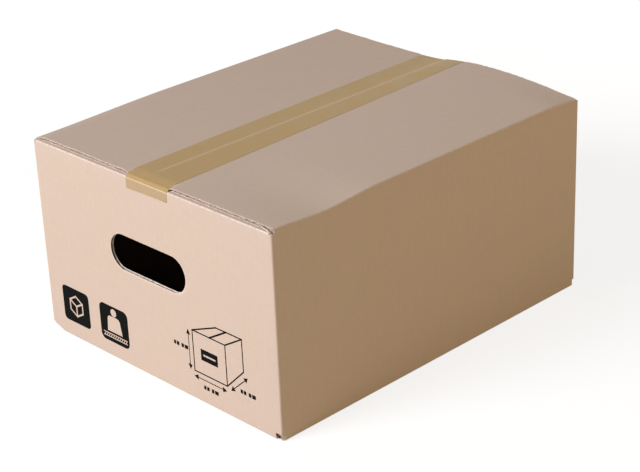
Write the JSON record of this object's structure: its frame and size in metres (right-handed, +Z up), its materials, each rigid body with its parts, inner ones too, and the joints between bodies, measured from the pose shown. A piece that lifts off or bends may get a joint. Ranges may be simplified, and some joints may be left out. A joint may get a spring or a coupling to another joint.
{
  "type": "cardboard box",
  "caption": "Closed corrugated carton folded from one sheet, with crossing lid flaps taped along their seam and a stadium-shaped hand hole in each end panel.",
  "frame": {"origin": "middle of the footprint, on the floor", "axes": "+Z up, Y along the 360 mm side panels, X along the 290 mm end panels; the end panel that the picture shows faces -Y and the side panel that it shows faces +X"},
  "size_m": [0.29, 0.361, 0.1847],
  "materials": {
    "corrugated_board": "matte",
    "packing_tape": "satin"
  },
  "bodies": {
    "root": {"folded_carton": "corrugated_board", "top_tape": "packing_tape"}
  },
  "joints": []
}
